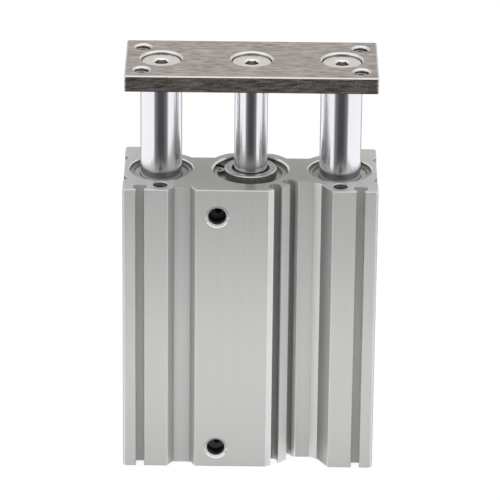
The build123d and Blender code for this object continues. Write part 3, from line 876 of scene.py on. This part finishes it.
def smooth(name: str, mesh: bpy.types.Mesh, sharp_from: float = 33.0) -> bpy.types.Object:
    """Makes a smooth object of a mesh, with normals that lean to its larger faces so that flats look flat.

    Args:
        name: The object's name.
        mesh: Its mesh.
        sharp_from: The least turn between faces that stays sharp, in degrees.

    Returns:
        The new object.
    """
    mesh.shade_smooth()
    mesh.set_sharp_from_angle(angle=math.radians(sharp_from))
    piece = stand(name, mesh)
    piece.modifiers.new("flat_faces", "WEIGHTED_NORMAL").keep_sharp = True
    return piece


def put_in_mesh(name: str, points: Points, faces: List[Sequence[int]]) -> bpy.types.Object:
    """Makes a smooth object from points and faces.

    Args:
        name: The object's name.
        points: The points, with their three coordinates last.
        faces: The numbers of each face's points.

    Returns:
        The new object.
    """
    mesh = bpy.data.meshes.new(name)
    mesh.from_pydata(points.reshape(-1, 3), [], faces)
    mesh.update()
    return smooth(name, mesh)


def grid_faces(rows: int, columns: int, wrap_rows: bool) -> List[List[int]]:
    """Numbers the four-sided faces of a grid of points.

    Args:
        rows: The number of rows.
        columns: The number of points in each row. The last one joins the first.
        wrap_rows: Whether the last row joins the first.

    Returns:
        The four corners of each face, row by row.
    """
    row = np.arange(rows if wrap_rows else rows - 1)[:, None]
    column = np.arange(columns)[None, :]
    next_row, next_column = (row + 1) % rows, (column + 1) % columns
    corners = [row * columns + column, row * columns + next_column,
               next_row * columns + next_column, next_row * columns + column]
    return np.stack([np.broadcast_to(c, (row.size, columns)) for c in corners], axis=-1).reshape(-1, 4).tolist()


def turn_angles(around: int) -> Points:
    """Returns even angles round a full turn."""
    return np.linspace(0, 2 * np.pi, around, endpoint=False)


def turned(name: str, x: float, radius: Points, height: Points, ends: Sequence[float] = ()) -> bpy.types.Object:
    """Makes an object from rows of points round an upright axis.

    The point of row i at turn j is (x + r_ij cos a_j, r_ij sin a_j, z_ij).

    Args:
        name: The object's name.
        x: Where the axis stands.
        radius: Each point's distance from the axis, with a row for each turn.
        height: Each point's height.
        ends: Heights of the points on the axis that close the first and the last row. Without them the
            last row joins the first.

    Returns:
        The new object.
    """
    rows, around = radius.shape
    angle = turn_angles(around)
    points = np.stack([x + radius * np.cos(angle), radius * np.sin(angle), height], axis=-1).reshape(-1, 3)
    faces = grid_faces(rows, around, not len(ends))
    if len(ends):
        here = np.arange(around)
        beside, last, count = (here + 1) % around, (rows - 1) * around, len(points)
        points = np.vstack([points, *([x, 0, end] for end in ends)])
        for fan in ((beside, here, here * 0 + count), (last + here, last + beside, here * 0 + count + 1)):
            faces += np.stack(fan, axis=-1).tolist()
    return put_in_mesh(name, points, faces)


def lathe(name: str, outline: Points, x: float, around: int = AROUND) -> bpy.types.Object:
    """Spins an outline about an upright axis.

    An outline that starts and ends on the axis gets a single point there. Any other is a closed loop.

    Args:
        name: The object's name.
        outline: Radius and height of each point, anticlockwise in that plane.
        x: Where the axis stands.
        around: The number of points in each turn.

    Returns:
        The new object.
    """
    on_axis = outline[0, 0] < 1e-9
    ring = outline[1:-1] if on_axis else outline
    radius, height = (np.repeat(part[:, None], around, axis=1) for part in ring.T)
    return turned(name, x, radius, height, outline[[0, -1], 1] if on_axis else ())


class Way(Enum):
    """The way that a hole runs."""

    UP = "up"
    BACK = "back"


@dataclass(frozen=True)
class Thread:
    """An internal thread: the hole's radius, the pitch, how far the ridge stands out and where it starts."""

    radius: float
    pitch: float
    depth: float
    inset: float
    section: Tuple[float, ...] = (0.06, 0.42, 0.58, 0.94)
    points_per_turn: int = 40
    least: float = 0.02

    def ridge(self, name: str, start: Sequence[float], length: float, way: Way = Way.UP) -> bpy.types.Object:
        """Makes the ridge of the thread.

        A four-cornered section follows a helix. At turn angle a, its points lie at height pitch a / 2 pi
        plus the section's own, and at radius less the section's depth. The depth fades to nothing over the
        first and last half turn.

        Args:
            name: The object's name.
            start: Where the ridge starts, on the hole's axis.
            length: How far the thread runs.
            way: The way that the hole runs.

        Returns:
            The new object.
        """
        turns = length / self.pitch - 1
        angle = np.linspace(0, 2 * np.pi * turns, int(turns * self.points_per_turn))[:, None]
        fade = np.clip(np.minimum(angle, angle[-1] - angle) / np.pi, self.least, 1)
        distance = self.radius - np.array([[0.0, 1.0, 1.0, 0.0]]) * self.depth * fade
        height = self.pitch * angle / (2 * np.pi) + np.array([self.section]) * self.pitch
        across, along = distance * np.cos(angle), distance * np.sin(angle)
        parts = [across, along, height] if way is Way.UP else [across, height, -along]
        rows, columns = height.shape
        faces = grid_faces(rows, columns, False)
        faces += [list(range(columns))[::-1], list(range((rows - 1) * columns, rows * columns))]
        return put_in_mesh(name, np.stack(parts, axis=-1) + np.array(start), faces)


def broken_edges(name: str, node: str, width: float, sharp: float = 28.0) -> bpy.types.Object:
    """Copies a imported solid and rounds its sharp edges.

    The copy's loose triangles are merged, its flat faces are made whole, and each edge where two faces
    turn more than the given angle gets a narrow rounded strip.

    Args:
        name: The new object's name.
        node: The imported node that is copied.
        width: How far from the edge the strip starts.
        sharp: The least turn of a sharp edge, in degrees.

    Returns:
        The new object.
    """
    shape = bmesh.new()
    shape.from_mesh(frame["nodes"][node].data)
    bmesh.ops.remove_doubles(shape, verts=shape.verts, dist=0.002 * MM)
    bmesh.ops.dissolve_degenerate(shape, edges=shape.edges, dist=0.001 * MM)
    bmesh.ops.dissolve_limit(shape, angle_limit=math.radians(0.5), verts=shape.verts, edges=shape.edges)
    edges = [e for e in shape.edges if e.is_manifold and e.calc_face_angle(0.0) > math.radians(sharp)]
    bmesh.ops.bevel(shape, geom=edges, offset=width, segments=2, profile=0.5, affect="EDGES",
                    clamp_overlap=True)
    mesh = bpy.data.meshes.new(name)
    shape.to_mesh(mesh)
    shape.free()
    return smooth(name, mesh)


# The object's pieces


@dataclass
class Assembly:
    """A group of pieces that rides on one body, dressed in the object's materials."""

    body: ClassVar[str] = CYLINDER
    paints: Paints

    def place(self, piece: bpy.types.Object, slot: str, *nodes: str, finish: str = "") -> None:
        """Dresses a piece and puts it on the body.

        Args:
            piece: The piece.
            slot: The record's material slot that it belongs to.
            *nodes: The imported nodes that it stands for.
            finish: The finish, where it isn't the slot's own.
        """
        self.paints.dress(piece, finish or slot)
        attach(piece, self.body)
        if nodes:
            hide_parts(*nodes)
        triangles = sum(len(face.vertices) - 2 for face in piece.data.polygons)
        log.info("%s: %d triangles, %s, on %s", piece.name, triangles, slot, self.body)

    def keep(self, slots: Dict[str, str]) -> None:
        """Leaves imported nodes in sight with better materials.

        Args:
            slots: The slot of each node.
        """
        for node, slot in slots.items():
            piece = frame["nodes"][node]
            self.paints.dress(piece, slot)
            log.info("%s: packed solid, %s", node, slot)

    def clip(self, node: str, edge: float) -> None:
        """Places a circlip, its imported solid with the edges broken."""
        self.place(broken_edges(node + "_sprung", node, edge), "spring_steel", node)


@dataclass
class Housing(Assembly):
    """The extruded housing with the threads in its ports and end holes."""

    edge: float = 0.4 * MM
    port: Thread = Thread(4.35 * MM, 0.907 * MM, 0.15 * MM, 1.25 * MM)
    port_length: float = 7.2 * MM
    core: Thread = Thread(3.4 * MM, 1.25 * MM, 0.32 * MM, 1.0 * MM)
    core_length: float = 16.0 * MM

    def build(self) -> None:
        """Builds the shell, then every thread."""
        self.place(broken_edges("housing_shell", "housing", self.edge), "anodised_aluminium", "housing")
        low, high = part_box("housing")
        for name in ("port_retract", "port_extend"):
            x, _, z = MOUNTS[name]["pos_m"]
            ridge = self.port.ridge(name + "_thread", (x, low.y + self.port.inset, z), self.port_length, Way.BACK)
            self.place(ridge, "anodised_aluminium", finish="shaded_tapped_port")
        top = high.z - self.core.inset - self.core_length
        for end, height in (("head", top), ("foot", low.z + self.core.inset)):
            for corner, x, y in hole_corners("head_holes"):
                ridge = self.core.ridge(f"{end}_thread_{corner}", (x, y, height), self.core_length)
                self.place(ridge, "anodised_aluminium", finish="shaded_tapped_aluminium")


@dataclass
class RodGland(Assembly):
    """What closes the front of the bore: the cover, the rod's seal and the circlip over them."""

    corner: float = 0.15 * MM
    nose_height: float = 6.5 * MM
    nose_radius: float = 13.5 * MM
    boss_radius: float = 12.6 * MM
    boss_height: float = 4.8 * MM
    boss_chamfer: float = 0.55 * MM
    mouth_radius: float = 9.15 * MM
    mouth_chamfer: float = 0.3 * MM
    seal_pocket: float = 0.9 * MM
    seal_sink: float = 0.8 * MM
    seal_corner: float = 0.12 * MM
    seal_gap: float = 0.04 * MM
    seal_shoulder: float = 0.55 * MM
    seal_step: float = 0.2 * MM
    pocket_gap: float = 0.25 * MM
    lip_root: float = 0.75 * MM
    lip_fall: float = 0.25 * MM
    lip_width: float = 0.22 * MM
    clip_edge: float = 0.12 * MM

    def cover(self) -> bpy.types.Object:
        """Spins the cover: a nose in the bore, a flange in the seat and a boss that stands out.

        Returns:
            The cover.
        """
        box = Extent.of("rod_cover")
        low, top = box.low.z, box.high.z
        nose, flange = low + self.nose_height, top - self.boss_height
        inner, floor = Extent.of("rod_seal").radius, top - self.seal_pocket - self.seal_sink
        outline = [
            (inner, low), (self.nose_radius, low), (self.nose_radius, nose), (box.radius, nose),
            (box.radius, flange), (self.boss_radius, flange), (self.boss_radius, top - self.boss_chamfer),
            (self.boss_radius - self.boss_chamfer, top), (self.mouth_radius + self.mouth_chamfer, top),
            (self.mouth_radius, top - self.mouth_chamfer), (self.mouth_radius, floor), (inner, floor),
        ]
        return lathe("rod_cover_turned", rounded(outline, self.corner, closed=True), 0.0)

    def seal(self) -> bpy.types.Object:
        """Spins the seal: a body in its pocket with a thin wiping lip that leans on the rod.

        Returns:
            The seal.
        """
        box = Extent.of("rod_seal")
        rod = Extent.of("piston_rod").radius + self.seal_gap
        low, top = box.low.z, box.high.z - self.seal_sink
        shoulder = top - self.seal_shoulder
        outline = [
            (rod, low), (box.radius, low), (box.radius, shoulder - self.seal_step),
            (self.mouth_radius - self.pocket_gap, shoulder), (rod + self.lip_root, shoulder - self.lip_fall),
            (rod + self.lip_width, top), (rod, top),
        ]
        return lathe("rod_seal_moulded", rounded(outline, self.seal_corner, closed=True), 0.0)

    def build(self) -> None:
        """Builds the gland's pieces."""
        self.place(self.cover(), "turned_aluminium", "rod_cover")
        self.place(self.seal(), "seal_rubber", "rod_seal")
        self.clip("rod_cover_circlip", self.clip_edge)
        self.keep({"rod_bush": "bearing_bronze", "rod_cover_gasket": "seal_rubber",
                   "front_bumper": "bumper_rubber"})


@dataclass
class HeadEnd(Assembly):
    """What closes the rear of the bore."""

    dish_radius: float = 11.0 * MM
    dish_depth: float = 1.2 * MM
    corner: float = 0.25 * MM
    clip_edge: float = 0.12 * MM

    def build(self) -> None:
        """Builds the dished cover and its circlip."""
        box = Extent.of("head_cover")
        low, high = box.low.z, box.high.z
        outline = [(0.0, low + self.dish_depth), (self.dish_radius - self.dish_depth, low + self.dish_depth),
                   (self.dish_radius, low), (box.radius, low), (box.radius, high), (0.0, high)]
        cover = lathe("head_cover_turned", rounded(outline, self.corner), 0.0)
        self.place(cover, "turned_aluminium", "head_cover")
        self.clip("head_cover_circlip", self.clip_edge)
        self.keep({"head_cover_gasket": "seal_rubber", "rear_bumper": "bumper_rubber"})


@dataclass
class GuideMouth(Assembly):
    """The bushes, wiper and circlip of one guide bore."""

    side: str
    holder_lip: float = 0.9 * MM
    holder_gap: float = 0.2 * MM
    holder_chamfer: float = 0.2 * MM
    wall: float = 2.6 * MM
    felt_gap: float = 0.06 * MM
    corner: float = 0.2 * MM
    bush_gap: float = 0.05 * MM
    bush_lead_in: float = 0.6 * MM
    bush_around: int = 96
    clip_edge: float = 0.1 * MM

    @property
    def rod_radius(self) -> float:
        """The radius of the guide rod."""
        return Extent.of(f"guide_rod_{self.side}").radius

    def holder(self, node: str) -> bpy.types.Object:
        """Spins the ring over the felt, with a lip that leaves the rod free.

        Args:
            node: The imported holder.

        Returns:
            The ring.
        """
        box = Extent.of(node)
        low, top = box.low.z, box.high.z
        pocket, lip = self.rod_radius + self.wall, self.rod_radius + self.holder_gap
        outline = [
            (pocket, low), (box.radius, low), (box.radius, top), (lip + self.holder_chamfer, top),
            (lip, top - self.holder_chamfer), (lip, top - self.holder_lip), (pocket, top - self.holder_lip),
        ]
        return lathe(node + "_moulded", rounded(outline, self.corner, closed=True), box.x)

    def ring(self, node: str, made: str, gap: float, corner: float, around: int = AROUND) -> bpy.types.Object:
        """Spins a plain ring round the rod.

        Args:
            node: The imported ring.
            made: How it is made, for its name.
            gap: The gap between ring and rod.
            corner: How far its corners are rounded.
            around: The number of points in each turn.

        Returns:
            The ring.
        """
        box = Extent.of(node)
        bore = self.rod_radius + gap
        outline = [(bore, box.low.z), (box.radius, box.low.z), (box.radius, box.high.z), (bore, box.high.z)]
        return lathe(f"{node}_{made}", rounded(outline, corner, closed=True), box.x, around)

    def build(self) -> None:
        """Builds the mouth's pieces."""
        holder, felt = f"felt_holder_{self.side}", f"guide_felt_{self.side}"
        self.place(self.holder(holder), "holder_plastic", holder)
        self.place(self.ring(felt, "pressed", self.felt_gap, self.corner), "felt", felt)
        for bush in (f"guide_bush_upper_{self.side}", f"guide_bush_lower_{self.side}"):
            ring = self.ring(bush, "turned", self.bush_gap, self.bush_lead_in, self.bush_around)
            self.place(ring, "bearing_bronze", bush)
        self.clip(f"guide_circlip_{self.side}", self.clip_edge)


@dataclass
class Rods(Assembly):
    """The two guide rods and the piston rod, ground and chromed."""

    body = CARRIAGE
    chamfer: float = 1.2 * MM
    corner: float = 0.15 * MM
    spigot_radius: float = 5.0 * MM
    spigot_length: float = 17.4 * MM
    thread_radius: float = 5.02 * MM
    thread_depth: float = 22.0 * MM

    def rod(self, node: str, foot: Sequence[Pair]) -> bpy.types.Object:
        """Spins a rod with the tapped hole in its upper end.

        Args:
            node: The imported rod.
            foot: The outline of its foot, from just off the axis: distance from the axis and height above
                the rod's lower end.

        Returns:
            The rod.
        """
        box = Extent.of(node)
        low, top, hole = box.low.z, box.high.z, self.thread_radius
        floor = top - self.thread_depth
        outline = [(0.0, low), *((distance, low + height) for distance, height in foot), (box.radius, top),
                   (hole, top), (hole, floor), (0.0, floor - hole / 2)]
        return lathe(node + "_ground", rounded(outline, self.corner), box.x)

    def build(self) -> None:
        """Builds the three rods."""
        feet = {}
        for side in SIDES:
            radius = Extent.of(f"guide_rod_{side}").radius
            feet[f"guide_rod_{side}"] = [(radius - self.chamfer, 0.0), (radius, self.chamfer)]
        feet["piston_rod"] = [(self.spigot_radius, 0.0), (self.spigot_radius, self.spigot_length),
                              (Extent.of("piston_rod").radius, self.spigot_length)]
        for node, foot in feet.items():
            self.place(self.rod(node, foot), "chrome", node)


@dataclass
class Piston(Assembly):
    """The piston with what rides in its grooves, all hidden in the bore."""

    body = CARRIAGE

    def build(self) -> None:
        """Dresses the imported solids."""
        self.keep({"piston": "turned_aluminium", "piston_magnet": "magnet_rubber",
                   "piston_wear_ring": "guide_plastic", "piston_seal": "seal_rubber",
                   "piston_nut": "screw_steel"})


@dataclass
class ToolingPlate(Assembly):
    """The plate, the threads in its corner holes and the three screws that hold it."""

    body = CARRIAGE
    edge: float = 0.12 * MM
    hole: Thread = Thread(3.4 * MM, 1.25 * MM, 0.32 * MM, 0.9 * MM)
    screw_rim: float = 0.6 * MM
    screw_corner: float = 0.22 * MM
    head_radius: float = 9.18 * MM
    shank_radius: float = 4.98 * MM
    socket_flat: float = 3.0 * MM
    socket_mouth: float = 4.1 * MM
    socket_depth: float = 3.6 * MM
    socket_point: float = 0.9 * MM
    mouth_fall: float = 0.75
    mouth_edge: float = 0.05 * MM
    floor_edge: float = 0.1 * MM
    around: int = 144

    def screw(self, name: str, x: float) -> bpy.types.Object:
        """Makes a flat-head screw whose outline changes into a hexagon at its socket.

        Rows run from the point of the shank up its outside, over the head and down into the socket. Every
        row has one radius all round, except the socket's rows: there the radius in direction a is the
        hexagon's, flat / cos(a'), where a' is the angle to the nearest flat's middle. The mouth is a cone,
        so the hexagon's top edge lies below the face by what the mouth's radius exceeds its own, times the
        cone's fall.

        Args:
            name: The object's name.
            x: Where the screw's axis stands.

        Returns:
            The new object.
        """
        box = Extent.of("plate_screws")
        low, top = box.low.z, box.high.z
        head, shank, cone = self.head_radius, self.shank_radius, top - self.screw_rim
        outline = [(0.0, low), (shank, low), (shank, cone - head + shank), (head, cone), (head, top),
                   (self.socket_mouth, top)]
        to_flat = turn_angles(self.around) % (np.pi / 3) - np.pi / 6
        hexagon = np.minimum(self.socket_flat / np.cos(to_flat), self.socket_mouth)
        rim = top - (self.socket_mouth - hexagon) * self.mouth_fall
        floor = top - self.socket_depth
        rows = [*rounded(outline, self.screw_corner)[1:], (hexagon, rim), (hexagon, rim - self.mouth_edge),
                (hexagon, floor + self.floor_edge), (hexagon - self.floor_edge, floor)]
        radius, height = (np.array([np.broadcast_to(part, self.around) for part in parts])
                          for parts in zip(*rows))
        return turned(name, x, radius, height, (low, floor - self.socket_point))

    def build(self) -> None:
        """Builds the plate, its threads and its screws."""
        low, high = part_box("tooling_plate")
        self.place(broken_edges("tooling_plate_brushed", "tooling_plate", self.edge), "plate_steel", "tooling_plate")
        length = high.z - low.z - 2 * self.hole.inset
        for corner, x, y in hole_corners("plate_holes"):
            ridge = self.hole.ridge(f"plate_thread_{corner}", (x, y, low.z + self.hole.inset), length)
            self.place(ridge, "plate_steel", finish="shaded_tapped_steel")
        for side, rod in (("left", "guide_rod_left"), ("middle", "piston_rod"), ("right", "guide_rod_right")):
            nodes = ["plate_screws"] if side == "middle" else []
            self.place(self.screw(f"plate_screw_{side}", Extent.of(rod).x), "screw_steel", *nodes)


# The studio


@dataclass(frozen=True)
class StudioCamera:
    """A camera at the photograph's viewing angle. Angles are in radians."""

    aim: Tuple[float, float, float] = (0.0001367, 0.0, 0.104305)
    distance: float = 1.892839
    elevation: float = 0.41677415
    azimuth: float = 0.00070258
    roll: float = -0.0110169
    focal_pixels: float = 3895.818
    image_pixels: float = 500.0
    sensor_width: float = 36.0
    clip: Pair = (0.1, 50.0)

    def build(self) -> None:
        """Sets the camera up and makes it the scene's."""
        sin_e, cos_e = math.sin(self.elevation), math.cos(self.elevation)
        sin_a, cos_a = math.sin(self.azimuth), math.cos(self.azimuth)
        forward = Vector((sin_a * cos_e, cos_a * cos_e, -sin_e))
        right = forward.cross(Vector((0, 0, 1))).normalized()
        down = forward.cross(right)
        cos_r, sin_r = math.cos(self.roll), math.sin(self.roll)
        turned_right = cos_r * right + sin_r * down
        turned_down = -sin_r * right + cos_r * down
        data = bpy.data.cameras.new("studio_camera")
        data.sensor_width = self.sensor_width
        data.lens = self.focal_pixels / self.image_pixels * self.sensor_width
        data.clip_start, data.clip_end = self.clip
        place = Matrix((turned_right, -turned_down, -forward)).transposed().to_4x4()
        place.translation = Vector(self.aim) - forward * self.distance
        camera = stand("studio_camera", data)
        camera.matrix_world = place
        bpy.context.scene.camera = camera


@dataclass(frozen=True)
class Lamp:
    """A soft lamp that faces the object. It lights dull surfaces; mirrors show the room instead."""

    name: str
    place: Tuple[float, float, float]
    size: float
    watts: float
    height: float = 0.0
    aim: Tuple[float, float, float] = (0.0, 0.0, 0.1)

    def build(self) -> None:
        """Hangs the lamp."""
        data = bpy.data.lights.new(self.name, "AREA")
        data.shape = "RECTANGLE" if self.height else "SQUARE"
        data.size, data.size_y = self.size, self.height or self.size
        data.energy = self.watts
        lamp = stand(self.name, data)
        lamp.location = self.place
        lamp.rotation_euler = (Vector(self.aim) - Vector(self.place)).to_track_quat("-Z", "Y").to_euler()
        lamp.visible_glossy = False
        lamp.visible_camera = False


@dataclass(frozen=True)
class Band:
    """A range of angles with soft ends, all in degrees."""

    middle: float
    half: float
    soft: float

    def inside(self, graph: Graph, angle: Socket) -> Socket:
        """Returns 1 for an angle in radians inside the range and 0 outside it."""
        away = graph.size(graph.minus(angle, math.radians(self.middle)))
        return graph.ramp(away, math.radians(self.half + self.soft), math.radians(self.half - self.soft))


@dataclass(frozen=True)
class Surround:
    """The white room round the object, with the dark opening in front that polished rods mirror.

    Each patch of the room is a band of azimuth, counted both ways from the front, and one of elevation.
    Patches take light away from the white room. A level is what is left of it.
    """

    ambient: float = 0.3
    opening: Tuple[Band, Band] = (Band(0.0, 38.0, 6.0), Band(-3.0, 49.0, 5.0))
    opening_level: float = 0.2
    core: Band = Band(0.0, 22.0, 12.0)
    core_share: float = 0.3
    pillar: Tuple[Band, Band] = (Band(161.0, 17.0, 2.0), Band(-30.0, 28.0, 5.0))
    pillar_level: float = 0.4
    back: Band = Band(28.0, 30.0, 12.0)
    back_level: float = 0.74
    beside: Tuple[Band, Band] = (Band(90.0, 42.0, 8.0), Band(-42.0, 45.0, 8.0))
    strip: Band = Band(-23.0, 17.0, 4.0)
    left_level: float = 0.15
    right_level: float = 0.25

    def level(self, graph: Graph) -> Socket:
        """Works out how bright the room is in each direction.

        Args:
            graph: The world's graph.

        Returns:
            The level, from 0 to 1.
        """
        x, y, z = graph.parts(graph.add("TexCoord").outputs["Generated"])
        azimuth = graph.size(graph.math("ARCTAN2", x, graph.times(y, -1.0)))
        elevation = graph.math("ARCSINE", z)
        opening, pillar, beside = (
            graph.times(across.inside(graph, azimuth), up.inside(graph, elevation))
            for across, up in (self.opening, self.pillar, self.beside))
        core = self.core.inside(graph, azimuth)
        shown = graph.ramp(core, 0.0, 1.0, self.opening_level, self.opening_level * self.core_share, "LINEAR")
        behind = graph.times(graph.ramp(y, 0.0, 0.5), self.back.inside(graph, elevation))
        side = graph.ramp(x, -0.2, 0.2, self.left_level, self.right_level)
        strip = self.strip.inside(graph, elevation)
        lost = (graph.times(opening, graph.minus(1.0, shown)), graph.times(pillar, 1 - self.pillar_level),
                graph.times(behind, 1 - self.back_level),
                graph.times(beside, graph.minus(1.0, strip), graph.minus(1.0, side)))
        return reduce(graph.minus, lost, 1.0)

    def build(self) -> None:
        """Builds the world. Mirrors see the levels, dull surfaces the ambient light, the camera white."""
        world = bpy.data.worlds.new("white_room")
        bpy.context.scene.world = world
        world.use_nodes = True
        graph = Graph(world.node_tree)
        rays = graph.add("LightPath").outputs
        glossy = graph.times(rays["Is Glossy Ray"], graph.minus(self.level(graph), self.ambient))
        seen = graph.most(rays["Is Camera Ray"], rays["Is Transmission Ray"])
        strength = graph.most(graph.plus(self.ambient, glossy), seen)
        graph.give(world.node_tree.nodes["Background"], {"Color": (1.0, 1.0, 1.0, 1.0), "Strength": strength})


@dataclass(frozen=True)
class Floor:
    """A pale floor that keeps a faint shadow."""

    half_side: float = 3.0
    drop: float = 0.05 * MM
    colour: Colour = (0.92, 0.92, 0.92)
    roughness: float = 0.9
    shine: float = 0.1
    glow: float = 0.8
    glow_strength: float = 1.09

    def build(self) -> None:
        """Lays the floor just under the object."""
        z = float(cad_low.z) - self.drop
        half = self.half_side
        mesh = bpy.data.meshes.new("floor")
        mesh.from_pydata([(-half, -half, z), (half, -half, z), (half, half, z), (-half, half, z)], [],
                         [(0, 1, 2, 3)])
        floor = stand("floor", mesh)
        material = bpy.data.materials.new("pale_floor")
        material.use_nodes = True
        graph, nodes = Graph(material.node_tree), material.node_tree.nodes
        shader = nodes["Principled BSDF"]
        graph.give(shader, {"Base Color": (*self.colour, 1.0), "Roughness": self.roughness,
                            "Specular IOR Level": self.shine})
        white = graph.add("Emission", {"Color": (1.0, 1.0, 1.0, 1.0), "Strength": self.glow_strength})
        share = graph.times(graph.add("LightPath").outputs["Is Camera Ray"], self.glow)
        mixed = graph.add("MixShader", {"Fac": share, 1: shader.outputs["BSDF"], 2: white.outputs["Emission"]})
        graph.give(nodes["Material Output"], {"Surface": mixed.outputs["Shader"]})
        mesh.materials.append(material)
        floor.visible_glossy = False


@dataclass(frozen=True)
class Studio:
    """The floor, the room, the lamps and the camera."""

    lamps: Tuple[Lamp, ...] = (
        Lamp("key_lamp", (0.2, -1.6, 0.45), 0.9, 1.75),
        Lamp("top_lamp", (0.0, 0.1, 1.3), 2.0, 18.0),
        Lamp("low_lamp", (0.0, -0.18, 0.015), 0.36, 0.42, 0.05, (0.0, 0.0, 0.015)),
    )

    def build(self) -> None:
        """Sets up everything that isn't the object."""
        bpy.context.scene.view_settings.view_transform = "Standard"
        for part in (Surround(), Floor(), *self.lamps, StudioCamera()):
            part.build()


def main() -> None:
    """Builds the studio and every assembly in order."""
    Studio().build()
    paints = Paints()
    assemblies = [Housing(paints), RodGland(paints), HeadEnd(paints), GuideMouth(paints, "left"),
                  GuideMouth(paints, "right"), Rods(paints), Piston(paints), ToolingPlate(paints)]
    for assembly in assemblies:
        assembly.build()


if __name__ == "__main__":
    main()
